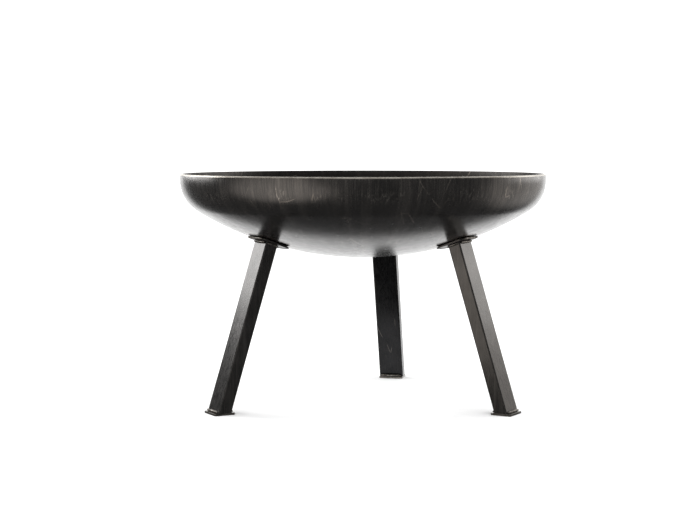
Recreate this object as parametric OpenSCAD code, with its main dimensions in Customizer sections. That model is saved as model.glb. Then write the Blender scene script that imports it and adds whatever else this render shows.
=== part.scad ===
// Fire pit: a dished steel bowl on three splayed tube legs, with a lift-out grate.
// Millimetres. +Z is up, the floor is z = 0 and the bowl's axis is the Z axis.
// The front of the pit faces -Y, and angles around the bowl count from +X towards +Y.

/* [Bowl] */
// Outside diameter of the bowl
bowl_d = 700; // [580:10:850]
// Height of the rim above the floor
rim_z = 440; // [360:1:530]
// Thickness of the bowl's sheet
wall = 4; // [3:0.5:6]
// Height of the straight flange below the rim
flange_h = 11; // [6:0.5:25]
// Outside radius of the knuckle between flange and crown
knuckle_r = 70; // [55:1:85]
// Outside radius of the crown
crown_r = 605; // [510:5:750]
// Height of the bevel ground around the outside of the rim
bevel_h = 2.2; // [1.5:0.1:4.5]
// Width of that bevel across the sheet
bevel_w = 1.8; // [1:0.1:2.6]

/* [Legs] */
// Direction of the left front leg, in degrees
left_turn = 210; // [195:1:225]
// Direction of the right front leg, in degrees
right_turn = 330; // [315:1:345]
// Direction of the rear leg, in degrees
rear_turn = 78; // [70:1:110]
// Distance from the bowl's axis to the middle of a foot
foot_r = 305; // [255:1:365]
// Lean of the legs from upright, in degrees
splay = 17.5; // [14:0.5:21]
// Width of the leg tube across its outward face
tube_w = 50; // [40:1:60]
// Depth of the leg tube
tube_d = 25; // [16:1:30]
// Wall of the leg tube
tube_wall = 2; // [1.5:0.1:3]
// Outside corner radius of the leg tube
tube_corner = 3; // [2.5:0.1:4]

/* [Plates] */
// Distance that the top plate stands out past the tube at each side
plate_side = 10; // [7:0.5:16]
// Distance that the top plate stands out past the tube's outer face
plate_out = 11; // [6:0.5:12]
// Distance that the top plate stands in past the tube's inner face
plate_in = 19; // [10:0.5:30]
// Thickness of the top plate
plate_t = 3; // [2.5:0.5:5]
// Corner radius of the top plate
plate_corner = 6; // [2:0.5:10]
// Distance that the foot plate stands out past the tube at each side
foot_side = 0; // [0:0.5:8]
// Distance that the foot plate stands out past the tube's outer and inner faces
foot_end = 7.5; // [6:0.5:14]
// Thickness of the foot plate
foot_t = 4; // [3:0.5:6]
// Corner radius of the foot plate
foot_corner = 4; // [2:0.5:8]

/* [Welds] */
// Diameter of a weld bead
bead_d = 4; // [2.5:0.1:4.5]
// Clearance between pieces that are welded or rest on each other
gap = 0.3; // [0.2:0.05:0.4]

/* [Grate] */
// Distance from the ring's resting line in from the edge of the crown
ring_margin = 11.5; // [4:0.5:60]
// Diameter of the bar that the ring is bent from
ring_bar_d = 12; // [10:0.5:16]
// Diameter of the straight grate bars
bar_d = 8; // [6:0.5:10]
// Diameter of the two cross bars under the grate bars
cross_bar_d = 10; // [8:0.5:12]
// Distance between the two cross bars
cross_spacing = 270; // [200:5:320]
// Diameter of the handle rod
handle_rod_d = 8; // [6:0.5:9]
// Height of the handles above the ring
handle_h = 36; // [30:1:45]
// Bend radius of the handles, on the middle of the rod
handle_bend = 14; // [10:0.5:18]

/* [Hidden] */
$fn = 96;
// Bowl: the knuckle's centre height and the crown's centre height
knuckle_z = rim_z - flange_h;
crown_z = knuckle_z + sqrt(pow(crown_r - knuckle_r, 2) - pow(bowl_d / 2 - knuckle_r, 2));
// Angle from straight down at which the crown meets the knuckle
crown_edge = asin((bowl_d / 2 - knuckle_r) / (crown_r - knuckle_r));
bowl_fn = 240;

// Legs: a leg's middle line runs up from its foot at this lean and passes the crown's centre at
// this distance. The top plate lies on the belly where that line meets it.
axis_offset = foot_r * cos(splay) + (foot_t - crown_z) * sin(splay);
plate_reach = crown_r + gap + plate_t;
head_lean = asin(axis_offset / plate_reach);
plate_lean = splay + head_lean;
plate_w = tube_w + 2 * plate_side;
plate_l = tube_d + plate_out + plate_in;
plate_shift = (plate_in - plate_out) / 2;
foot_w = tube_w + 2 * foot_side;
foot_l = tube_d / cos(splay) + 2 * foot_end;
bead_r = bead_d / 2;
bead_off = bead_r + gap;

// Grate: the ring rests on the inside of the crown, and the bars lie across the ring
ring_r = ring_bar_d / 2;
rest_reach = crown_r - wall - gap - ring_r;
grate_r = rest_reach * sin(crown_edge) - ring_margin;
ring_z = crown_z - sqrt(pow(rest_reach, 2) - pow(grate_r, 2));
bar_count = 19;
bar_pitch = 2 * grate_r / (bar_count + 1);
bar_z = ring_z + ring_r + gap + bar_d / 2;
cross_z = bar_z - bar_d / 2 - gap - cross_bar_d / 2;
// Each handle foot stands on the ring, midway between two bars to the nearest 0.1 mm
handle_half_w = round(15 * bar_pitch) / 10;
handle_x = sqrt(pow(grate_r, 2) - pow(handle_half_w, 2));
handle_base_z = ring_z + ring_r + gap;

STEEL = "#3a3835";
BRIGHT = "#8c8a86";
GRATE = "#2b2a29";

// Rectangle with round corners, centred
module round_rect(size_x, size_y, r) {
    square([size_x - 2 * r, size_y], center = true);
    square([size_x, size_y - 2 * r], center = true);
    for (sx = [-1, 1], sy = [-1, 1])
        translate([sx * (size_x / 2 - r), sy * (size_y / 2 - r)]) circle(r);
}

// Half outline of the dish, filled in to the axis; inset moves it inward for the inside face
module dish_outline(inset, top_z) {
    edge_x = (crown_r - inset) * sin(crown_edge);
    out_r = bowl_d / 2 - inset;
    translate([0, knuckle_z]) square([out_r, top_z - knuckle_z]);
    intersection() {
        translate([bowl_d / 2 - knuckle_r, knuckle_z]) circle(knuckle_r - inset, $fn = bowl_fn);
        translate([0, knuckle_z - bowl_d]) square([out_r, bowl_d]);
    }
    intersection() {
        translate([0, crown_z]) circle(crown_r - inset, $fn = 4 * bowl_fn);
        translate([0, knuckle_z - bowl_d]) square([edge_x, bowl_d]);
    }
}

module bowl() {
    color(STEEL) rotate_extrude($fn = bowl_fn) difference() {
        dish_outline(0, rim_z);
        dish_outline(wall, rim_z + wall);
        polygon([
            [bowl_d / 2 - bevel_w, rim_z],
            [bowl_d / 2 - bevel_w, rim_z + wall],
            [bowl_d / 2 + wall, rim_z + wall],
            [bowl_d / 2 + wall, rim_z - bevel_h],
            [bowl_d / 2, rim_z - bevel_h]
        ]);
    }
}

// Places a piece at the head of a leg: z = 0 is the underside of the top plate on the leg's
// middle line, +Z points squarely into the belly, +X outward and Y around the bowl
module at_head(turn) {
    rotate([0, 0, turn]) translate([0, 0, crown_z]) rotate([0, -plate_lean, 0])
        translate([0, 0, -plate_reach]) children();
}

// Places a piece at a foot: z = 0 is the floor and +X points outward
module at_foot(turn) {
    rotate([0, 0, turn]) translate([foot_r, 0, 0]) children();
}

// Rectangular tube, cut flat on the foot plate and against the top plate
module leg_tube(turn) {
    color(STEEL) difference() {
        at_foot(turn) translate([0, 0, foot_t]) rotate([0, -splay, 0])
            translate([0, 0, -tube_d]) linear_extrude(rim_z)
                difference() {
                    round_rect(tube_d, tube_w, tube_corner);
                    round_rect(tube_d - 2 * tube_wall, tube_w - 2 * tube_wall, tube_corner - tube_wall);
                }
        at_foot(turn) translate([-rim_z, -rim_z, foot_t + gap - rim_z]) cube([2 * rim_z, 2 * rim_z, rim_z]);
        at_head(turn) translate([-rim_z, -rim_z, -gap]) cube(2 * rim_z);
    }
}

module leg_plate(turn) {
    color(STEEL) at_head(turn) translate([-plate_shift, 0, 0])
        linear_extrude(plate_t) round_rect(plate_l, plate_w, plate_corner);
}

module foot_plate(turn) {
    color(STEEL) at_foot(turn) linear_extrude(foot_t) round_rect(foot_l, foot_w, foot_corner);
}

// Round weld bead lying around the bowl, centred
module bead(length) {
    rotate([90, 0, 0]) cylinder(h = length, d = bead_d, center = true);
}

// Beads along the outer and inner faces of a tube that leans inward from its plate
module face_beads(lean) {
    for (side = [-1, 1]) {
        face_x = tube_d / 2 / cos(lean);
        bead_x = bead_off * (1 - side * sin(lean)) / cos(lean);
        translate([side * (face_x + bead_x), 0, 0]) bead(tube_w - 2 * tube_corner);
    }
}

// Beads along the plate's inner and outer edges, just under the belly
module bowl_weld(turn) {
    for (side = [-1, 1]) {
        x = side * (plate_l / 2 + bead_off) - plate_shift;
        near = max(0, abs(x) - bead_r);
        rise = crown_r - sqrt(pow(crown_r, 2) - pow(near, 2));
        color(BRIGHT) at_head(turn) translate([x, 0, plate_t + rise - bead_r])
            bead(plate_w - 2 * plate_corner);
    }
}

// Four beads around the tube, under the top plate
module top_weld(turn) {
    color(BRIGHT) at_head(turn) translate([0, 0, -bead_off]) {
        face_beads(head_lean);
        for (side = [-1, 1])
            translate([0, side * (tube_w / 2 + bead_off), 0]) rotate([0, 0, 90])
                bead(tube_d - 2 * tube_corner);
    }
}

// Beads along the tube's outer and inner faces, on the foot plate
module foot_weld(turn) {
    color(BRIGHT) at_foot(turn) translate([0, 0, foot_t + bead_off]) face_beads(splay);
}

module grate_ring() {
    color(GRATE) translate([0, 0, ring_z]) rotate_extrude($fn = bowl_fn)
        translate([grate_r, 0]) circle(ring_r);
}

// Straight bar across the ring; bar 1 is nearest the front
module grate_bar(number) {
    y = (number - (bar_count + 1) / 2) * bar_pitch;
    half = sqrt(pow(grate_r, 2) - pow(y, 2));
    color(GRATE) translate([0, y, bar_z]) rotate([0, 90, 0])
        cylinder(h = 2 * half, d = bar_d, center = true);
}

// Bar under the grate bars, inside the ring
module cross_bar(side) {
    x = cross_spacing / 2;
    half = sqrt(pow(grate_r - ring_r - gap, 2) - pow(x + cross_bar_d / 2, 2));
    color(GRATE) translate([side * x, 0, cross_z]) rotate([90, 0, 0])
        cylinder(h = 2 * half, d = cross_bar_d, center = true);
}

// Bent rod handle: two uprights, two quarter bends and a grip
module handle(side) {
    leg_h = handle_h - handle_bend;
    color(GRATE) translate([side * handle_x, 0, handle_base_z]) {
        for (end = [-1, 1]) {
            translate([0, end * handle_half_w, 0]) cylinder(h = leg_h, d = handle_rod_d);
            translate([0, end * (handle_half_w - handle_bend), leg_h])
                rotate([0, -90, 0]) rotate([0, 0, end > 0 ? 0 : -90])
                    rotate_extrude(angle = 90) translate([handle_bend, 0]) circle(d = handle_rod_d);
        }
        translate([0, 0, handle_h]) rotate([90, 0, 0])
            cylinder(h = 2 * (handle_half_w - handle_bend), d = handle_rod_d, center = true);
    }
}

bowl();
leg_tube(left_turn);  // leg_tube_left
leg_tube(right_turn);  // leg_tube_right
leg_tube(rear_turn);  // leg_tube_rear
leg_plate(left_turn);  // leg_plate_left
leg_plate(right_turn);  // leg_plate_right
leg_plate(rear_turn);  // leg_plate_rear
foot_plate(left_turn);  // foot_plate_left
foot_plate(right_turn);  // foot_plate_right
foot_plate(rear_turn);  // foot_plate_rear
bowl_weld(left_turn);  // bowl_weld_left
bowl_weld(right_turn);  // bowl_weld_right
bowl_weld(rear_turn);  // bowl_weld_rear
top_weld(left_turn);  // top_weld_left
top_weld(right_turn);  // top_weld_right
top_weld(rear_turn);  // top_weld_rear
foot_weld(left_turn);  // foot_weld_left
foot_weld(right_turn);  // foot_weld_right
foot_weld(rear_turn);  // foot_weld_rear
grate_ring();
grate_bar(1);  // grate_bar_01
grate_bar(2);  // grate_bar_02
grate_bar(3);  // grate_bar_03
grate_bar(4);  // grate_bar_04
grate_bar(5);  // grate_bar_05
grate_bar(6);  // grate_bar_06
grate_bar(7);  // grate_bar_07
grate_bar(8);  // grate_bar_08
grate_bar(9);  // grate_bar_09
grate_bar(10);  // grate_bar_10
grate_bar(11);  // grate_bar_11
grate_bar(12);  // grate_bar_12
grate_bar(13);  // grate_bar_13
grate_bar(14);  // grate_bar_14
grate_bar(15);  // grate_bar_15
grate_bar(16);  // grate_bar_16
grate_bar(17);  // grate_bar_17
grate_bar(18);  // grate_bar_18
grate_bar(19);  // grate_bar_19
cross_bar(-1);  // cross_bar_left
cross_bar(1);  // cross_bar_right
handle(-1);  // handle_left
handle(1);  // handle_right
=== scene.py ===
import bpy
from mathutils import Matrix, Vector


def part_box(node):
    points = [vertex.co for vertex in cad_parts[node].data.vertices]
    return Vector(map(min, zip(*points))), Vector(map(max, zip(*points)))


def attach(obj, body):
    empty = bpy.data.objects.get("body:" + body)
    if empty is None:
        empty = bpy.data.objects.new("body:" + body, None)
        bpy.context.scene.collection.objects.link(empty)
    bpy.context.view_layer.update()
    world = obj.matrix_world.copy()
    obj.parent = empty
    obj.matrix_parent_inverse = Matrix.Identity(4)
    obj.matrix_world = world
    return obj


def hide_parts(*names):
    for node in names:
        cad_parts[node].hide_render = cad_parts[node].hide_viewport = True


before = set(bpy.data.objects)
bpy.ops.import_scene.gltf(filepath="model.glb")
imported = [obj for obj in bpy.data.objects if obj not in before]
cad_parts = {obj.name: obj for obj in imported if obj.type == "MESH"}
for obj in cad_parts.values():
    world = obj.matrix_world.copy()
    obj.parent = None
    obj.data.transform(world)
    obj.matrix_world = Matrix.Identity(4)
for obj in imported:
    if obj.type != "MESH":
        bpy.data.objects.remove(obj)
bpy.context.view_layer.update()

# %% [markdown]
# # A fire pit with a lift-out grate
# A pressed steel bowl stands on three legs of rectangular tube. Each leg has a thin plate at both
# ends, and the top plate is welded to the bowl's belly. A grate of round bar lies inside the bowl.
# The solids come from the frame. Each is remade here with rounded edges, rippled weld beads and
# bare steel finishes, at the same sizes and in the same places.

# %% Tools and the bowl's sizes
import math
import random

import bmesh
import bpy
from mathutils import Matrix, Vector

MM = 0.001
BOWL_R = 350 * MM
RIM_Z = 440 * MM
WALL = 4 * MM
FLANGE_H = 11 * MM
KNUCKLE_R = 70 * MM
CROWN_R = 605 * MM
BEVEL_H = 2.2 * MM
BEVEL_W = 1.8 * MM

knuckle_x = BOWL_R - KNUCKLE_R
knuckle_z = RIM_Z - FLANGE_H
crown_z = knuckle_z + math.sqrt((CROWN_R - KNUCKLE_R) ** 2 - knuckle_x ** 2)
crown_edge = math.asin(knuckle_x / (CROWN_R - KNUCKLE_R))
bowl_low, bowl_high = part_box("bowl")
print("rim is off the frame by", round((RIM_Z - bowl_high.z) / MM, 3), "mm")
print("belly is off the frame by", round((crown_z - CROWN_R - bowl_low.z) / MM, 3), "mm")

# %% [markdown]
# ## Leg sizes
# A leg's middle line rises from its foot with a lean, and its top plate lies on the belly where
# that line meets it. The same few sizes place the tube, both plates and every weld bead.

# %% Leg sizes and places
TURNS = {"left": math.radians(210), "right": math.radians(330), "rear": math.radians(78)}
FOOT_R = 305 * MM
SPLAY = math.radians(17.5)
TUBE_W = 50 * MM
TUBE_D = 25 * MM
TUBE_WALL = 2 * MM
TUBE_CORNER = 3 * MM
PLATE_W = 70 * MM
PLATE_L = 55 * MM
PLATE_T = 3 * MM
PLATE_SHIFT = 4 * MM
PLATE_CORNER = 6 * MM
FOOT_W = 50 * MM
FOOT_L = TUBE_D / math.cos(SPLAY) + 15 * MM
FOOT_T = 4 * MM
FOOT_CORNER = 4 * MM
BEAD_R = 2 * MM
GAP = 0.3 * MM

axis_offset = FOOT_R * math.cos(SPLAY) + (FOOT_T - crown_z) * math.sin(SPLAY)
plate_reach = CROWN_R + GAP + PLATE_T
head_lean = math.asin(axis_offset / plate_reach)
plate_lean = SPLAY + head_lean


def at_foot(side):
    """Frame on the floor under a foot: +X outward, +Z up."""
    return Matrix.Rotation(TURNS[side], 4, "Z") @ Matrix.Translation((FOOT_R, 0, 0))


def at_head(side):
    """Frame on the underside of a top plate: +X outward, +Z squarely into the belly."""
    lean = Matrix.Rotation(-plate_lean, 4, "Y") @ Matrix.Translation((0, 0, -plate_reach))
    return Matrix.Rotation(TURNS[side], 4, "Z") @ Matrix.Translation((0, 0, crown_z)) @ lean


print("top plates lean", round(math.degrees(plate_lean), 2), "degrees")

# %% [markdown]
# ## The view
# The pit is seen from just above its rim and from about three metres away with a long lens, so
# the bowl is nearly a side view. The camera looks a little down and a little left of the axis.

# %% Camera
CAMERA_Y = -2966 * MM
CAMERA_ABOVE_RIM = 55.7 * MM
CAMERA_PITCH = math.radians(4.033)
CAMERA_YAW = math.radians(0.478)

camera_data = bpy.data.cameras.new("camera")
camera_data.lens = 79.2
camera_data.sensor_width = 36
camera_data.dof.use_dof = False
camera = bpy.data.objects.new("camera", camera_data)
camera.location = (0, CAMERA_Y, RIM_Z + CAMERA_ABOVE_RIM)
camera.rotation_euler = (math.pi / 2 - CAMERA_PITCH, 0, CAMERA_YAW)
bpy.context.scene.collection.objects.link(camera)
bpy.context.scene.camera = camera
bpy.context.scene.view_settings.view_transform = "Standard"
print("camera stands", round(camera.location.z / MM), "mm above the floor")

# %% [markdown]
# ## A helper for nodes
# Colours are written as sRGB hex and turned to linear in one place. One small function adds a
# node with its settings, its inputs and its links, and each material below is a list of calls.

# %% Colour and node helpers


def linear(code):
    """Linear colour of an sRGB hex code."""
    parts = [int(code[i:i + 2], 16) / 255 for i in (1, 3, 5)]
    return (*[p / 12.92 if p <= 0.04045 else ((p + 0.055) / 1.055) ** 2.4 for p in parts], 1.0)


def add_node(tree, kind, inputs, out=0, stops=(), **settings):
    """Adds a node and returns one output. An input is a number, a hex colour or a socket."""
    node = tree.nodes.new("ShaderNode" + kind)
    for name, value in settings.items():
        setattr(node, name, value)
    for number, (position, colour) in enumerate(stops):
        if number > 1:
            node.color_ramp.elements.new(position)
        node.color_ramp.elements[number].position = position
        node.color_ramp.elements[number].color = linear(colour)
    for name, value in inputs.items():
        if isinstance(value, bpy.types.NodeSocket):
            tree.links.new(value, node.inputs[name])
        else:
            node.inputs[name].default_value = linear(value) if isinstance(value, str) else value
    return node.outputs[out]


def new_material(name, metallic):
    """New material; returns it, its tree, its shader and its Object coordinates."""
    material = bpy.data.materials.new(name)
    material.use_nodes = True
    tree = material.node_tree
    shader = tree.nodes["Principled BSDF"]
    shader.inputs["Metallic"].default_value = metallic
    return material, tree, shader, add_node(tree, "TexCoord", {}, out=3)


print("white in linear:", linear("#ffffff"))

# %% [markdown]
# ## Scratches
# Handling leaves thin bright lines that run every way. Edges of a stretched cell pattern are
# thin lines, and a slow noise lets only some of them show, so they read as separate scratches.
# They are drawn 0.4 mm wide, coarser than real ones, so that they show.

# %% Scratch pattern


def scratches(tree, place, per_metre, turn, cover):
    """1 on a scratch and 0 off it; cover from 0 to 1 says how many of them show."""
    width = 0.4 * MM
    turned = add_node(tree, "Mapping", {"Vector": place, "Rotation": turn, "Scale": (1, 1, 0.25)})
    bend = add_node(tree, "TexNoise", {"Vector": turned, "Scale": per_metre * 0.6, "Detail": 2.0}, out=1)
    bent = add_node(tree, "VectorMath", {0: bend, 1: (0.02, 0.02, 0.02), 2: turned},
                    operation="MULTIPLY_ADD")
    cells = add_node(tree, "TexVoronoi", {"Vector": bent, "Scale": per_metre}, feature="DISTANCE_TO_EDGE")
    line = add_node(tree, "MapRange", {"Value": cells, "From Min": width * per_metre, "From Max": 0.0})
    where = add_node(tree, "TexNoise", {"Vector": place, "Scale": per_metre * 0.9, "Detail": 2.0})
    low = 0.64 - 0.25 * cover
    shown = add_node(tree, "MapRange", {"Value": where, "From Min": low, "From Max": low + 0.08})
    return add_node(tree, "Math", {0: line, 1: shown}, operation="MULTIPLY")


print("scratch pattern ready")

# %% [markdown]
# ## Bowl steel
# The bowl is a pressed dished head of hot-rolled steel. Hot rolling leaves a dark blue-grey oxide
# skin, mill scale, with a satin gloss. Forming the knuckle rubs it thin, which gives fine upright
# streaks on the wall and a paler, scuffed band where the wall turns under.
# Streaks follow the wall because their pattern is read from the direction out from the axis, with
# the height squeezed, and that has no seam. Both faces of the bowl use one recipe.

# %% Bowl steel


def bowl_steel(name, scale_dark, scale_pale, scuff, rough_low, rough_high):
    """Mill scale with streaks, a scuffed band on the knuckle, scratches and heat tint."""
    material, tree, shader, place = new_material(name, 0.85)
    height = add_node(tree, "SeparateXYZ", {"Vector": place}, out=2)
    flat = add_node(tree, "VectorMath", {0: place, 1: (1, 1, 0)}, operation="MULTIPLY")
    outward = add_node(tree, "VectorMath", {0: flat}, operation="NORMALIZE")
    squeezed = add_node(tree, "VectorMath", {0: place, 1: (0, 0, 0.05)}, operation="MULTIPLY")
    around = add_node(tree, "VectorMath", {0: outward, 1: (BOWL_R, BOWL_R, 0), 2: squeezed},
                      operation="MULTIPLY_ADD")
    fine_streaks = add_node(tree, "TexNoise", {
        "Vector": around, "Scale": 420, "Detail": 4.0, "Roughness": 0.7})
    broad_streaks = add_node(tree, "TexNoise", {
        "Vector": around, "Scale": 55, "Detail": 3.0, "Roughness": 0.6})
    patches = add_node(tree, "TexNoise", {"Vector": place, "Scale": 9, "Detail": 4.0, "Roughness": 0.6})
    mottle = add_node(tree, "TexNoise", {"Vector": place, "Scale": 70, "Detail": 5.0, "Roughness": 0.65})
    grit = add_node(tree, "TexNoise", {"Vector": place, "Scale": 900, "Detail": 2.0})

    # Streaks fade out 30 to 60 mm under the rim
    on_wall = add_node(tree, "MapRange", {
        "Value": height, "From Min": RIM_Z - 60 * MM, "From Max": RIM_Z - 30 * MM})
    streak = add_node(tree, "MapRange", {"Value": fine_streaks, "From Min": 0.42, "From Max": 0.68})
    streak = add_node(tree, "Math", {0: streak, 1: on_wall}, operation="MULTIPLY")
    streak_pale = add_node(tree, "Math", {0: streak, 1: 0.16}, operation="MULTIPLY")
    broad_pale = add_node(tree, "MapRange", {
        "Value": broad_streaks, "From Min": 0.48, "From Max": 0.75, "To Max": 0.16})
    colour = add_node(tree, "ValToRGB", {"Fac": patches}, stops=[(0.32, scale_dark), (0.70, scale_pale)])
    colour = add_node(tree, "Mix", {"Factor": streak_pale, 6: colour, 7: scuff}, out=2, data_type="RGBA")
    colour = add_node(tree, "Mix", {"Factor": broad_pale, 6: colour, 7: scuff}, out=2, data_type="RGBA")

    # The scuffed band lies 25 to 45 mm under the rim; its marks are short, upright and in patches
    wander = add_node(tree, "Math", {0: mottle, 1: 0.024, 2: height}, operation="MULTIPLY_ADD")
    band_up = add_node(tree, "MapRange", {
        "Value": wander, "From Min": RIM_Z - 38 * MM, "From Max": RIM_Z - 28 * MM})
    band_down = add_node(tree, "MapRange", {
        "Value": wander, "From Min": RIM_Z - 6 * MM, "From Max": RIM_Z - 20 * MM})
    short = add_node(tree, "VectorMath", {0: place, 1: (0, 0, 0.3)}, operation="MULTIPLY")
    short = add_node(tree, "VectorMath", {0: outward, 1: (BOWL_R, BOWL_R, 0), 2: short},
                     operation="MULTIPLY_ADD")
    marks = add_node(tree, "TexNoise", {"Vector": short, "Scale": 380, "Detail": 4.0, "Roughness": 0.75})
    mark = add_node(tree, "MapRange", {"Value": marks, "From Min": 0.54, "From Max": 0.70})
    where = add_node(tree, "TexNoise", {"Vector": place, "Scale": 16, "Detail": 3.0})
    where = add_node(tree, "MapRange", {"Value": where, "From Min": 0.46, "From Max": 0.60, "To Max": 0.95})
    band = add_node(tree, "Math", {0: band_up, 1: band_down}, operation="MULTIPLY")
    band = add_node(tree, "Math", {0: band, 1: where}, operation="MULTIPLY")
    flecks = add_node(tree, "Math", {0: band, 1: mark}, operation="MULTIPLY")
    colour = add_node(tree, "Mix", {"Factor": flecks, 6: colour, 7: scuff}, out=2, data_type="RGBA")

    # Welding the legs on leaves a straw and blue heat tint around each top plate
    for side in TURNS:
        centre = at_head(side) @ Vector((-PLATE_SHIFT, 0, PLATE_T))
        away = add_node(tree, "VectorMath", {0: place, 1: centre}, out=1, operation="DISTANCE")
        tint = add_node(tree, "ValToRGB", {"Fac": away}, stops=[
            (0.030, "#26282e"), (0.046, "#40352d"), (0.054, "#494036"), (0.070, "#3c3a39")])
        amount = add_node(tree, "MapRange", {
            "Value": away, "From Min": 75 * MM, "From Max": 45 * MM, "To Max": 0.6})
        colour = add_node(tree, "Mix", {"Factor": amount, 6: colour, 7: tint}, out=2, data_type="RGBA")

    first = scratches(tree, place, 14, (0.4, 0.9, 0.3), 0.35)
    second = scratches(tree, place, 24, (1.2, 0.2, 1.9), 0.25)
    line = add_node(tree, "Math", {0: first, 1: second}, operation="MAXIMUM")
    line_pale = add_node(tree, "Math", {0: line, 1: 0.5}, operation="MULTIPLY")
    colour = add_node(tree, "Mix", {"Factor": line_pale, 6: colour, 7: "#a39a90"}, out=2, data_type="RGBA")
    tree.links.new(colour, shader.inputs["Base Color"])

    rough = add_node(tree, "MapRange", {
        "Value": mottle, "From Min": 0.3, "From Max": 0.7, "To Min": rough_low, "To Max": rough_high})
    rough = add_node(tree, "Math", {0: streak, 1: 0.06, 2: rough}, operation="MULTIPLY_ADD")
    tree.links.new(rough, shader.inputs["Roughness"])
    raised = add_node(tree, "Math", {0: streak, 1: 0.4, 2: grit}, operation="MULTIPLY_ADD")
    raised = add_node(tree, "Math", {0: raised, 1: line}, operation="SUBTRACT")
    slow = add_node(tree, "Bump", {"Height": patches, "Distance": 1.2 * MM, "Strength": 0.3})
    bump = add_node(tree, "Bump", {
        "Height": raised, "Distance": 0.04 * MM, "Strength": 0.4, "Normal": slow})
    tree.links.new(bump, shader.inputs["Normal"])
    return material


outside_steel = bowl_steel("mill_scale_steel_outside", "#353433", "#42403f", "#8d8781", 0.20, 0.28)
inside_steel = bowl_steel("mill_scale_steel_inside", "#2a2928", "#383634", "#5f5a54", 0.32, 0.44)
print("bowl steel:", outside_steel.name, "and", inside_steel.name)

# %% [markdown]
# ## Ground steel
# The rim was cut and then ground to a bevel, which leaves bright bare metal with fine lines
# that run around it. The lines are read from the height, stretched, so they follow the rim.

# %% Ground rim
ground_steel, tree, shader, place = new_material("ground_steel_rim", 1.0)
lines_place = add_node(tree, "VectorMath", {0: place, 1: (1, 1, 30)}, operation="MULTIPLY")
lines = add_node(tree, "TexNoise", {"Vector": lines_place, "Scale": 240, "Detail": 3.0, "Roughness": 0.7})
smears = add_node(tree, "TexNoise", {"Vector": place, "Scale": 60, "Detail": 3.0})
smeared = add_node(tree, "MapRange", {"Value": smears, "From Min": 0.45, "From Max": 0.7, "To Max": 0.6})
colour = add_node(tree, "ValToRGB", {"Fac": lines}, stops=[(0.35, "#8f8a82"), (0.65, "#b9b4ab")])
colour = add_node(tree, "Mix", {"Factor": smeared, 6: colour, 7: "#756c62"}, out=2, data_type="RGBA")
tree.links.new(colour, shader.inputs["Base Color"])
rough = add_node(tree, "MapRange", {"Value": lines, "From Min": 0.3, "From Max": 0.7,
                                    "To Min": 0.24, "To Max": 0.42})
tree.links.new(rough, shader.inputs["Roughness"])
bump = add_node(tree, "Bump", {"Height": lines, "Distance": 0.05 * MM, "Strength": 0.5})
tree.links.new(bump, shader.inputs["Normal"])
print("rim:", ground_steel.name)

# %% [markdown]
# ## Tube, plate and bar steel
# Rectangular tube is roll-formed from strip, which leaves a smoother dark skin with faint lines
# along the tube. The plates are cut from sheet, and the grate is plain hot-rolled round bar with a
# duller, browner scale. One recipe serves the three, and each gives its own colours, gloss and
# the direction that its lines are stretched in.

# %% Tube, plate and bar steel


def mill_steel(name, dark, pale, worn, rusty, gloss, turn, stretch, lines_per_metre):
    """Oxide skin with lines along the piece, pale specks, a little rust and scratches."""
    material, tree, shader, place = new_material(name, 0.85)
    stretched = add_node(tree, "Mapping", {"Vector": place, "Rotation": turn, "Scale": stretch})
    lines = add_node(tree, "TexNoise", {
        "Vector": stretched, "Scale": lines_per_metre, "Detail": 4.0, "Roughness": 0.65})
    blotch = add_node(tree, "TexNoise", {"Vector": place, "Scale": 28, "Detail": 4.0})
    specks = add_node(tree, "TexNoise", {"Vector": place, "Scale": 260, "Detail": 3.0, "Roughness": 0.7})
    colour = add_node(tree, "ValToRGB", {"Fac": blotch}, stops=[(0.34, dark), (0.68, pale)])
    line_pale = add_node(tree, "MapRange", {
        "Value": lines, "From Min": 0.46, "From Max": 0.72, "To Max": 0.4})
    colour = add_node(tree, "Mix", {"Factor": line_pale, 6: colour, 7: worn}, out=2, data_type="RGBA")
    rust = add_node(tree, "MapRange", {
        "Value": specks, "From Min": 0.62, "From Max": 0.72, "To Max": rusty})
    colour = add_node(tree, "Mix", {"Factor": rust, 6: colour, 7: "#5e4636"}, out=2, data_type="RGBA")
    line = scratches(tree, place, 26, (0.7, 0.5, 1.1), 0.4)
    line_shown = add_node(tree, "Math", {0: line, 1: 0.35}, operation="MULTIPLY")
    colour = add_node(tree, "Mix", {"Factor": line_shown, 6: colour, 7: "#9a928a"}, out=2,
                      data_type="RGBA")
    tree.links.new(colour, shader.inputs["Base Color"])
    rough = add_node(tree, "MapRange", {
        "Value": lines, "From Min": 0.3, "From Max": 0.7, "To Min": gloss, "To Max": gloss + 0.14})
    tree.links.new(rough, shader.inputs["Roughness"])
    raised = add_node(tree, "Math", {0: specks, 1: 0.5, 2: lines}, operation="MULTIPLY_ADD")
    bump = add_node(tree, "Bump", {"Height": raised, "Distance": 0.08 * MM, "Strength": 0.5})
    tree.links.new(bump, shader.inputs["Normal"])
    return material


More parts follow.
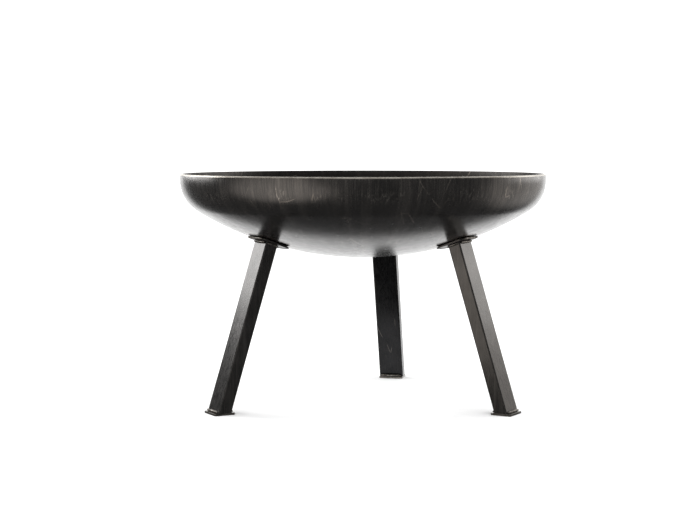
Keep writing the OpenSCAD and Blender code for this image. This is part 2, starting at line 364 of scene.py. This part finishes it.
# Lines run along each leg: its turn and lean are undone before the pattern is squeezed
tube_steel = {}
# The rear leg's colours are far darker than the front legs': painted shade, for the leg that stands in the
# bowl's shadow
TUBE_COLOURS_REAR_SHADED = {"left": ("#383736", "#434140", "#5d5a57"), "right": ("#3a3836", "#454341", "#5f5b57"),
                "rear": ("#151516", "#1d1d1e", "#2c2b2a")}
for side, turn in TURNS.items():
    upright = (Matrix.Rotation(SPLAY, 3, "Y") @ Matrix.Rotation(-turn, 3, "Z")).to_euler()
    tube_steel[side] = mill_steel("rolled_tube_skin_" + side, *TUBE_COLOURS_REAR_SHADED[side], 0.1, 0.22, upright,
                                  (1, 1, 0.03), 300)
plate_steel = mill_steel("cut_plate_scale", "#333231", "#413f3d", "#66615b", 0.2, 0.32, (0, 0, 0),
                         (1, 1, 1), 220)
# The foot plates take a paler copy of the plate scale: painted highlight, standing for the bright ledges
# that reflect the backdrop
foot_steel_painted_highlight = mill_steel("cut_foot_plate_scale_painted_highlight", "#4c4946", "#68645f", "#98928a", 0.2, 0.26, (0, 0, 0),
                        (1, 1, 1), 220)
grate_steel = mill_steel("hot_rolled_round_bar", "#302e2c", "#403c38", "#675f56", 0.5, 0.42, (0, 0, 0),
                         (0.06, 1, 1), 260)
print("mill steel:", len(tube_steel) + 3, "materials")

# %% [markdown]
# ## Weld metal
# A bead cools from its middle, so it is paler on its crests with a brown and blue tint beside
# them. Here the pale, brown and blue-grey patches follow a noise, not the crests, and the ripples catch the
# light in small glints.

# %% Weld metal
weld_metal, tree, shader, place = new_material("weld_metal", 0.9)
soot = add_node(tree, "TexNoise", {"Vector": place, "Scale": 180, "Detail": 4.0, "Roughness": 0.7})
colour = add_node(tree, "ValToRGB", {"Fac": soot}, stops=[
    (0.30, "#303136"), (0.46, "#5b5650"), (0.60, "#85817b"), (0.74, "#b3afa9")])
tree.links.new(colour, shader.inputs["Base Color"])
rough = add_node(tree, "MapRange", {"Value": soot, "From Min": 0.3, "From Max": 0.7,
                                    "To Min": 0.44, "To Max": 0.25})
tree.links.new(rough, shader.inputs["Roughness"])
bump = add_node(tree, "Bump", {"Height": soot, "Distance": 0.2 * MM, "Strength": 0.5})
tree.links.new(bump, shader.inputs["Normal"])
print("beads:", weld_metal.name)

# %% [markdown]
# ## Finishing a piece
# Every piece ends the same way: doubled points are merged, faces are turned outward, and the
# mesh gets its materials and its body, and the solids that it stands for are hidden. A piece with
# large flat faces also gets weighted normals, so that its round edges don't shade the flats.

# %% Piece helper


def make_piece(mesh, name, body, nodes, materials, flats=False):
    """Turns a bmesh into a finished piece and says how far its box is from its solids' box."""
    bmesh.ops.remove_doubles(mesh, verts=mesh.verts[:], dist=0.002 * MM)
    bmesh.ops.recalc_face_normals(mesh, faces=mesh.faces[:])
    for face in mesh.faces:
        face.smooth = True
    data = bpy.data.meshes.new(name)
    mesh.to_mesh(data)
    mesh.free()
    for material in materials:
        data.materials.append(material)
    piece = bpy.data.objects.new(name, data)
    bpy.context.scene.collection.objects.link(piece)
    if flats:
        piece.modifiers.new("flat_faces", "WEIGHTED_NORMAL")
    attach(piece, body)
    if nodes:
        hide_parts(*nodes)
        corners = [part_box(node) for node in nodes]
        low = [min(c[0][i] for c in corners) for i in range(3)]
        high = [max(c[1][i] for c in corners) for i in range(3)]
        points = [v.co for v in data.vertices]
        off = max(max(abs(min(p[i] for p in points) - low[i]), abs(max(p[i] for p in points) - high[i]))
                  for i in range(3))
        print(name, len(data.polygons), "faces, box off by", round(off / MM, 2), "mm")
    return piece


# %% [markdown]
# ## Bowl
# The dish is a body of revolution, so half of its outline is drawn once and spun. The outline is
# one chain: crown, knuckle and flange outside, the ground bevel and the rim, then the same arcs
# back inside. Spinning a single point draws an arc, and a vertex bevel takes the sharpness off.

# %% Outline helpers


def arc(mesh, point, centre, angle, steps):
    """Carries an outline on along an arc about centre, in the XZ plane."""
    made = bmesh.ops.spin(mesh, geom=[point], cent=centre, axis=(0, 1, 0), angle=angle, steps=steps)
    return [v for v in made["geom_last"] if isinstance(v, bmesh.types.BMVert)][0]


def line_to(mesh, point, x, z):
    """Carries an outline on along a straight line."""
    made = bmesh.ops.extrude_vert_indiv(mesh, verts=[point])["verts"][0]
    made.co = (x, 0, z)
    return made


# %% Bowl outline and spin
CROWN_STEPS = 44
KNUCKLE_STEPS = 28
ROUND_STEPS = 288
knuckle_centre = (knuckle_x, 0, knuckle_z)
crown_centre = (0, 0, crown_z)
quarter_left = math.pi / 2 - crown_edge

mesh = bmesh.new()
point = bmesh.ops.create_vert(mesh, co=(0, 0, crown_z - CROWN_R))["vert"][0]
point = arc(mesh, point, crown_centre, -crown_edge, CROWN_STEPS)
point = arc(mesh, point, knuckle_centre, -quarter_left, KNUCKLE_STEPS)
corners = [line_to(mesh, point, BOWL_R, RIM_Z - BEVEL_H)]
corners.append(line_to(mesh, corners[-1], BOWL_R - BEVEL_W, RIM_Z))
corners.append(line_to(mesh, corners[-1], BOWL_R - WALL, RIM_Z))
point = line_to(mesh, corners[-1], BOWL_R - WALL, knuckle_z)
point = arc(mesh, point, knuckle_centre, quarter_left, KNUCKLE_STEPS)
point = arc(mesh, point, crown_centre, crown_edge, CROWN_STEPS)
bmesh.ops.bevel(mesh, geom=corners, affect="VERTICES", offset=0.4 * MM, offset_type="OFFSET",
                segments=3, profile=0.5, material=-1)
print("outline has", len(mesh.verts), "points")
bmesh.ops.spin(mesh, geom=mesh.verts[:] + mesh.edges[:], cent=(0, 0, 0), axis=(0, 0, 1),
               angle=2 * math.pi, steps=ROUND_STEPS, use_merge=True)

# %% Bowl faces and finish
bmesh.ops.remove_doubles(mesh, verts=mesh.verts[:], dist=0.002 * MM)
bmesh.ops.recalc_face_normals(mesh, faces=mesh.faces[:])
for face in mesh.faces:
    middle = face.calc_center_median()
    near_rim = middle.z > RIM_Z - BEVEL_H - 0.5 * MM
    on_rim = near_rim and math.hypot(middle.x, middle.y) > BOWL_R - WALL + 0.05 * MM
    if on_rim:
        face.material_index = 2
    elif face.normal.x * middle.x + face.normal.y * middle.y < 0 or face.normal.z > 0.5:
        face.material_index = 1
make_piece(mesh, "bowl_shell", "pit", ["bowl"], [outside_steel, inside_steel, ground_steel])

# %% [markdown]
# ## Leg tubes
# A tube starts as a flat rectangle. Its corners are rounded, it is inset by the wall and the
# middle is taken out, and the ring that is left is extruded. Then it leans, and two planes cut it
# flat on the foot plate and square to the belly, as a saw would. Bridging closes the cut walls.

# %% Flat shapes


def rounded_rectangle(mesh, size_x, size_y, corner, steps):
    """One flat face, centred, with round corners."""
    made = bmesh.ops.create_grid(mesh, x_segments=1, y_segments=1, size=0.5)["verts"]
    bmesh.ops.scale(mesh, verts=made, vec=(size_x, size_y, 1))
    bmesh.ops.bevel(mesh, geom=made, affect="VERTICES", offset=corner, offset_type="OFFSET",
                    segments=steps, profile=0.5, material=-1)
    return mesh.faces[:]


def pull_up(mesh, faces, height):
    """Extrudes faces straight up."""
    made = bmesh.ops.extrude_face_region(mesh, geom=faces)["geom"]
    bmesh.ops.translate(mesh, verts=[v for v in made if isinstance(v, bmesh.types.BMVert)],
                        vec=(0, 0, height))


# %% Leg tubes
for side in TURNS:
    mesh = bmesh.new()
    faces = rounded_rectangle(mesh, TUBE_D, TUBE_W, TUBE_CORNER, 6)
    bmesh.ops.inset_individual(mesh, faces=faces, thickness=TUBE_WALL)
    bmesh.ops.delete(mesh, geom=faces, context="FACES")
    pull_up(mesh, mesh.faces[:], RIM_Z)
    lean = Matrix.Rotation(-SPLAY, 4, "Y") @ Matrix.Translation((0, 0, -TUBE_D))
    tube_place = at_foot(side) @ Matrix.Translation((0, 0, FOOT_T)) @ lean
    bmesh.ops.transform(mesh, verts=mesh.verts[:], matrix=tube_place)
    head = at_head(side)
    into_belly = head.to_3x3() @ Vector((0, 0, 1))
    tube_cuts = [((0, 0, FOOT_T + GAP), (0, 0, -1)), (head @ Vector((0, 0, -GAP)), into_belly)]
    for plane_co, plane_no in tube_cuts:
        cut = bmesh.ops.bisect_plane(mesh, geom=mesh.verts[:] + mesh.edges[:] + mesh.faces[:],
                                     dist=0.001 * MM, plane_co=plane_co, plane_no=plane_no,
                                     clear_outer=True)
        edges = [e for e in cut["geom_cut"] if isinstance(e, bmesh.types.BMEdge) and e.is_boundary]
        bmesh.ops.bridge_loops(mesh, edges=edges)
    make_piece(mesh, side + "_tube", "pit", ["leg_tube_" + side], [tube_steel[side]],
               flats=True)

# %% [markdown]
# ## Plates
# Each plate is a flat rectangle with round corners, extruded to its thickness. Cutting and
# tumbling leave a small round on every edge, which catches the light, so those are bevelled.

# %% Top plates and foot plates


def plate(size_x, size_y, thickness, corner, place):
    """A flat plate with softened edges, standing on z = 0 of place."""
    mesh = bmesh.new()
    pull_up(mesh, rounded_rectangle(mesh, size_x, size_y, corner, 6), thickness)
    edges = [e for e in mesh.edges if abs(e.verts[0].co.z - e.verts[1].co.z) < 0.01 * MM]
    bmesh.ops.bevel(mesh, geom=edges, affect="EDGES", offset=0.4 * MM, offset_type="OFFSET",
                    segments=2, profile=0.5, material=-1)
    bmesh.ops.transform(mesh, verts=mesh.verts[:], matrix=place)
    return mesh


for side in TURNS:
    under_belly = at_head(side) @ Matrix.Translation((-PLATE_SHIFT, 0, 0))
    top = plate(PLATE_L, PLATE_W, PLATE_T, PLATE_CORNER, under_belly)
    make_piece(top, side + "_top_plate", "pit", ["leg_plate_" + side], [plate_steel],
               flats=True)
    foot = plate(FOOT_L, FOOT_W, FOOT_T, FOOT_CORNER, at_foot(side))
    make_piece(foot, side + "_foot_plate", "pit", ["foot_plate_" + side], [foot_steel_painted_highlight],
               flats=True)

# %% [markdown]
# ## Weld beads
# A hand-laid bead is a row of overlapping round ripples with tapered ends. Each bead starts as a
# cylinder that is cut into rings, and the rings swell and shrink along it. The ripples are
# 2.5 mm apart, coarser than real ones. Beads are a little fatter than their solids, so that they
# sink into the steel on both sides as melted metal does.

# %% Bead helper
RIPPLE = 2.5 * MM
RINGS_PER_RIPPLE = 4
dice = random.Random(7)


def bead(mesh, length, place):
    """A rippled bead along the Y axis of place, centred."""
    radius = BEAD_R * 1.15
    rod = bmesh.new()
    bmesh.ops.create_cone(rod, cap_ends=True, segments=12, radius1=radius, radius2=radius, depth=length)
    long_edges = [e for e in rod.edges if abs(e.verts[0].co.z - e.verts[1].co.z) > length / 2]
    cuts = round(length / RIPPLE) * RINGS_PER_RIPPLE - 1
    bmesh.ops.subdivide_edges(rod, edges=long_edges, cuts=cuts, use_grid_fill=True)
    phase = dice.uniform(0, math.tau)
    for v in rod.verts:
        along = v.co.z
        swell = 1 + 0.10 * math.cos(math.tau * along / RIPPLE) + 0.05 * math.sin(along * 190 + phase)
        ends = 1 - 0.75 * min(1, 2 * abs(along) / length) ** 8
        # The torch wanders a little from side to side
        wander = 0.25 * MM * math.sin(phase + along * 260)
        v.co = (v.co.x * swell * ends + wander, v.co.y * swell * ends, along)
    bmesh.ops.transform(rod, verts=rod.verts[:], matrix=place @ Matrix.Rotation(math.pi / 2, 4, "X"))
    data = bpy.data.meshes.new("bead")
    rod.to_mesh(data)
    rod.free()
    mesh.from_mesh(data)
    bpy.data.meshes.remove(data)


def face_beads(mesh, lean, place):
    """Beads along the outer and inner faces of a tube that leans inward from its plate."""
    for way in (-1, 1):
        face_x = TUBE_D / 2 / math.cos(lean)
        bead_x = (BEAD_R + GAP) * (1 - way * math.sin(lean)) / math.cos(lean)
        bead(mesh, TUBE_W - 2 * TUBE_CORNER, place @ Matrix.Translation((way * (face_x + bead_x), 0, 0)))


# %% Beads on every leg
bead_off = BEAD_R + GAP
for side in TURNS:
    mesh = bmesh.new()
    for way in (-1, 1):
        x = way * (PLATE_L / 2 + bead_off) - PLATE_SHIFT
        near = max(0, abs(x) - BEAD_R)
        rise = CROWN_R - math.sqrt(CROWN_R ** 2 - near ** 2)
        bead_place = at_head(side) @ Matrix.Translation((x, 0, PLATE_T + rise - BEAD_R))
        bead(mesh, PLATE_W - 2 * PLATE_CORNER, bead_place)
    make_piece(mesh, side + "_bowl_beads", "pit", ["bowl_weld_" + side], [weld_metal])

    mesh = bmesh.new()
    under = at_head(side) @ Matrix.Translation((0, 0, -bead_off))
    face_beads(mesh, head_lean, under)
    for way in (-1, 1):
        aside = Matrix.Translation((0, way * (TUBE_W / 2 + bead_off), 0))
        bead(mesh, TUBE_D - 2 * TUBE_CORNER, under @ aside @ Matrix.Rotation(math.pi / 2, 4, "Z"))
    make_piece(mesh, side + "_top_beads", "pit", ["top_weld_" + side], [weld_metal])

    mesh = bmesh.new()
    face_beads(mesh, SPLAY, at_foot(side) @ Matrix.Translation((0, 0, FOOT_T + bead_off)))
    make_piece(mesh, side + "_foot_beads", "pit", ["foot_weld_" + side], [weld_metal])

# %% [markdown]
# ## Grate sizes
# The ring is bent from one bar and rests on the inside of the crown. The straight bars lie
# across it, two cross bars lie under them, and a rod handle stands on the ring at each side.

# %% Grate sizes
RING_R = 6 * MM
BAR_R = 4 * MM
CROSS_R = 5 * MM
CROSS_X = 135 * MM
ROD_R = 4 * MM
HANDLE_H = 36 * MM
HANDLE_BEND = 14 * MM
RING_MARGIN = 11.5 * MM
BAR_COUNT = 19

rest_reach = CROWN_R - WALL - GAP - RING_R
grate_r = rest_reach * math.sin(crown_edge) - RING_MARGIN
ring_z = crown_z - math.sqrt(rest_reach ** 2 - grate_r ** 2)
bar_pitch = 2 * grate_r / (BAR_COUNT + 1)
bar_z = ring_z + RING_R + GAP + BAR_R
cross_z = bar_z - BAR_R - GAP - CROSS_R
handle_half = round(15 * bar_pitch / MM) / 10 * MM
handle_x = math.sqrt(grate_r ** 2 - handle_half ** 2)
handle_base = ring_z + RING_R + GAP
print("bars are", round(bar_pitch / MM, 1), "mm apart")

# %% Grate ring
mesh = bmesh.new()
section = bmesh.ops.create_circle(mesh, segments=20, radius=RING_R)["verts"]
ring_place = Matrix.Translation((grate_r, 0, ring_z)) @ Matrix.Rotation(math.pi / 2, 4, "X")
bmesh.ops.transform(mesh, verts=section, matrix=ring_place)
bmesh.ops.spin(mesh, geom=mesh.verts[:] + mesh.edges[:], cent=(0, 0, 0), axis=(0, 0, 1),
               angle=2 * math.pi, steps=192, use_merge=True)
make_piece(mesh, "ring", "grate", ["grate_ring"], [grate_steel])

# %% [markdown]
# ## Grate bars
# A cropped bar has a small round at its ends. One helper makes them all: a cylinder with its end
# edges bevelled, turned along X or Y.

# %% Grate bars and cross bars


def round_bar(radius, length, place):
    """A round bar along the Z axis of place, centred, with softened ends."""
    mesh = bmesh.new()
    bmesh.ops.create_cone(mesh, cap_ends=True, segments=20, radius1=radius, radius2=radius, depth=length)
    rims = [e for e in mesh.edges if abs(e.verts[0].co.z - e.verts[1].co.z) < length / 2]
    bmesh.ops.bevel(mesh, geom=rims, affect="EDGES", offset=0.7 * MM, offset_type="OFFSET",
                    segments=2, profile=0.5, material=-1)
    bmesh.ops.transform(mesh, verts=mesh.verts[:], matrix=place)
    return mesh


bars = []
for number in range(1, BAR_COUNT + 1):
    y = (number - (BAR_COUNT + 1) / 2) * bar_pitch
    half = math.sqrt(grate_r ** 2 - y ** 2)
    bars.append((y, half))
    bar_place = Matrix.Translation((0, y, bar_z)) @ Matrix.Rotation(math.pi / 2, 4, "Y")
    mesh = round_bar(BAR_R, 2 * half, bar_place)
    make_piece(mesh, f"bar_{number:02d}", "grate", [f"grate_bar_{number:02d}"],
               [grate_steel], flats=True)
cross_half = math.sqrt((grate_r - RING_R - GAP) ** 2 - (CROSS_X + CROSS_R) ** 2)
for side, way in (("left", -1), ("right", 1)):
    place = Matrix.Translation((way * CROSS_X, 0, cross_z)) @ Matrix.Rotation(math.pi / 2, 4, "X")
    mesh = round_bar(CROSS_R, 2 * cross_half, place)
    make_piece(mesh, side + "_cross_bar", "grate", ["cross_bar_" + side], [grate_steel],
               flats=True)

# %% [markdown]
# ## Handles
# A handle is one rod: up, a quarter bend, across, a quarter bend and down. Its round section is
# extruded along the straights and spun through the bends.

# %% Handles


def push(mesh, loop, vec):
    """Extrudes an open section by vec and returns the new section's edges."""
    made = bmesh.ops.extrude_edge_only(mesh, edges=loop)["geom"]
    bmesh.ops.translate(mesh, verts=[v for v in made if isinstance(v, bmesh.types.BMVert)], vec=vec)
    return [e for e in made if isinstance(e, bmesh.types.BMEdge)]


def bend_rod(mesh, loop, centre):
    """Spins an open section through a quarter bend about the X direction."""
    made = bmesh.ops.spin(mesh, geom=loop, cent=centre, axis=(1, 0, 0), angle=-math.pi / 2, steps=10)
    return [e for e in made["geom_last"] if isinstance(e, bmesh.types.BMEdge)]


for side, way in (("left", -1), ("right", 1)):
    mesh = bmesh.new()
    x = way * handle_x
    straight = HANDLE_H - HANDLE_BEND
    bend_z = handle_base + straight
    bmesh.ops.create_circle(mesh, segments=16, radius=ROD_R,
                            matrix=Matrix.Translation((x, -handle_half, handle_base)))
    loop = push(mesh, mesh.edges[:], (0, 0, straight))
    loop = bend_rod(mesh, loop, (x, -handle_half + HANDLE_BEND, bend_z))
    loop = push(mesh, loop, (0, 2 * (handle_half - HANDLE_BEND), 0))
    loop = bend_rod(mesh, loop, (x, handle_half - HANDLE_BEND, bend_z))
    loop = push(mesh, loop, (0, 0, -straight))
    bmesh.ops.holes_fill(mesh, edges=[e for e in mesh.edges if e.is_boundary], sides=16)
    make_piece(mesh, side + "_handle", "grate", ["handle_" + side], [grate_steel])

# %% [markdown]
# ## Tack welds
# Bars of a grate are tacked where they cross. A tack is a small squashed blob, so each is a
# sphere that is scaled to lap over both bars, a little different every time.

# %% Tack welds on the grate


def tack(mesh, place, size):
    """A blob at place with the given half sizes."""
    grow = dice.uniform(0.88, 1.12)
    matrix = Matrix.Translation(place) @ Matrix.Rotation(dice.uniform(-0.3, 0.3), 4, "Z")
    matrix = matrix @ Matrix.Diagonal((size[0] * grow, size[1] * grow, size[2], 1))
    bmesh.ops.create_icosphere(mesh, subdivisions=2, radius=MM, matrix=matrix)


mesh = bmesh.new()
for y, half in bars:
    for way in (-1, 1):
        tack(mesh, (way * half, y, handle_base), (4.2, 5.2, 2.6))
        if half > CROSS_X + CROSS_R and abs(y) < cross_half - BAR_R:
            tack(mesh, (way * CROSS_X, y, bar_z - BAR_R), (5.8, 5.4, 1.6))
for way in (-1, 1):
    for end in (-1, 1):
        reach = math.sqrt((grate_r - RING_R) ** 2 - CROSS_X ** 2)
        tack(mesh, (way * CROSS_X, end * reach, cross_z + 1 * MM), (5.6, 4.0, 4.4))
        tack(mesh, (way * handle_x, end * handle_half, handle_base), (5.8, 5.8, 2.4))
make_piece(mesh, "grate_tacks", "grate", [], [weld_metal])
print("tacks:", 2 * len(bars) + 2 * sum(h > CROSS_X + CROSS_R for _, h in bars) + 8)

# %% [markdown]
# ## Floor and sky
# The floor is plain white. An even white sky lights it, which leaves only a soft shadow.

# %% Floor
FLOOR_R = 14.0

paper, tree, shader, place = new_material("white_paper_floor", 0.0)
fibres = add_node(tree, "TexNoise", {"Vector": place, "Scale": 40, "Detail": 5.0})
colour = add_node(tree, "ValToRGB", {"Fac": fibres}, stops=[(0.3, "#f6f6f6"), (0.7, "#fbfbfb")])
tree.links.new(colour, shader.inputs["Base Color"])
shader.inputs["Roughness"].default_value = 0.9
shader.inputs["Specular IOR Level"].default_value = 0.0


def make_stage(mesh, name, material):
    """Turns a flat bmesh into a piece of the studio."""
    bmesh.ops.recalc_face_normals(mesh, faces=mesh.faces[:])
    data = bpy.data.meshes.new(name)
    mesh.to_mesh(data)
    mesh.free()
    data.materials.append(material)
    flat_piece = bpy.data.objects.new(name, data)
    bpy.context.scene.collection.objects.link(flat_piece)
    return flat_piece


mesh = bmesh.new()
bmesh.ops.create_circle(mesh, cap_ends=True, segments=96, radius=FLOOR_R)
floor = make_stage(mesh, "floor", paper)
floor.visible_glossy = False
print("floor reaches", FLOOR_R, "m out")

# %% [markdown]
# ## Cards for the reflections
# Bare steel mostly shows what it reflects, so the floor that the gloss sees is made of two cards.
# A dark one lies in front of the pit and a bright one behind it. The dark card is a painted
# shadow: it stands for the pit's shade on the floor, as the gloss sees it. The belly then turns
# from dark to nearly white towards its lower edge, and the legs show in it as dark columns.

# %% Cards
CARDS = [
    # Painted shadow: this card stands for the floor in the pit's shade, seen only in reflections
    ("painted_shadow_card", (0.08, -0.32), (0.42, 0.42), 0.10),
    ("bright_card", (0.0, 1.00), (0.55, 0.90), 1.7),
]
for name, centre, half_size, glow in CARDS:
    material, tree, shader, place = new_material(name, 0.0)
    shader.inputs["Base Color"].default_value = linear("#000000")
    shader.inputs["Specular IOR Level"].default_value = 0.0
    shader.inputs["Emission Color"].default_value = linear("#ffffff")
    shader.inputs["Emission Strength"].default_value = glow
    mesh = bmesh.new()
    bmesh.ops.create_circle(mesh, cap_ends=True, segments=64, radius=1)
    bmesh.ops.scale(mesh, verts=mesh.verts[:], vec=(*half_size, 1))
    bmesh.ops.translate(mesh, verts=mesh.verts[:], vec=(*centre, 0.5 * MM))
    card = make_stage(mesh, name, material)
    card.visible_camera = card.visible_diffuse = card.visible_shadow = False
    card.visible_transmission = card.visible_volume_scatter = False
print("cards:", len(CARDS))

# %% [markdown]
# ## Soft lights
# Gloss sees a dark room with large soft lights in it. Those far away are drawn on the sky. The
# two that stand behind the pit are real area lights, because how far up a leg their reflection
# starts depends on how near they are.

# %% Sky
SKY = 1.5
ROOM = 0.10
# Name, turn from the front towards the right, height, half size, soft edge (degrees), colour, strength
FAR_LIGHTS = [
    ("left_front", -55, -18, 16, 24, "#fff9f3", 1.8),
    ("right_low", 115, -8, 18, 22, "#fffaf5", 1.0),
    ("backdrop", 180, 0, 25, 10, "#ffffff", 1.7),
    ("overhead", 180, 55, 35, 15, "#ffffff", 1.3),
    ("front_high", 0, 38, 18, 10, "#ffffff", 1.2),
]

world = bpy.data.worlds.new("studio")
bpy.context.scene.world = world
world.use_nodes = True
tree = world.node_tree
direction = add_node(tree, "TexCoord", {}, out=0)
room = add_node(tree, "CombineXYZ", {0: ROOM, 1: ROOM, 2: ROOM})
for name, turn, height, size, edge, colour, strength in FAR_LIGHTS:
    turn, height = math.radians(turn), math.radians(height)
    aim = (math.sin(turn) * math.cos(height), -math.cos(turn) * math.cos(height), math.sin(height))
    facing = add_node(tree, "VectorMath", {0: direction, 1: aim}, out=1, operation="DOT_PRODUCT")
    lit = add_node(tree, "MapRange", {
        "Value": facing, "From Min": math.cos(math.radians(size + edge)),
        "From Max": math.cos(math.radians(size)), "To Max": strength}, interpolation_type="SMOOTHSTEP")
    shown = add_node(tree, "VectorMath", {0: linear(colour)[:3], "Scale": lit}, operation="SCALE")
    room = add_node(tree, "VectorMath", {0: room, 1: shown}, operation="ADD")
glossy = add_node(tree, "LightPath", {}, out=3)
sky = add_node(tree, "Mix", {"Factor": glossy, 6: (SKY, SKY, SKY, 1), 7: room}, out=2, data_type="RGBA")
tree.links.new(sky, tree.nodes["Background"].inputs["Color"])
print("lights on the sky:", len(FAR_LIGHTS))

# %% Area lights
# Name, place of the middle, width, height, glow
NEAR_LIGHTS = [
    ("left_back_light", (-1.50, 0.67, 0.945), 1.1, 1.0, 6.0),
    ("right_back_light", (1.60, 0.72, 0.95), 1.3, 1.1, 2.2),
]
for name, middle, width, height, glow in NEAR_LIGHTS:
    light = bpy.data.lights.new(name, "AREA")
    light.shape = "RECTANGLE"
    light.size = width
    light.size_y = height
    light.energy = glow * math.pi * width * height
    lamp = bpy.data.objects.new(name, light)
    lamp.location = middle
    aim = Vector((0, 0, middle[2])) - Vector(middle)
    lamp.rotation_euler = aim.to_track_quat("-Z", "Y").to_euler()
    lamp.visible_camera = False
    bpy.context.scene.collection.objects.link(lamp)
print("area lights:", len(NEAR_LIGHTS))
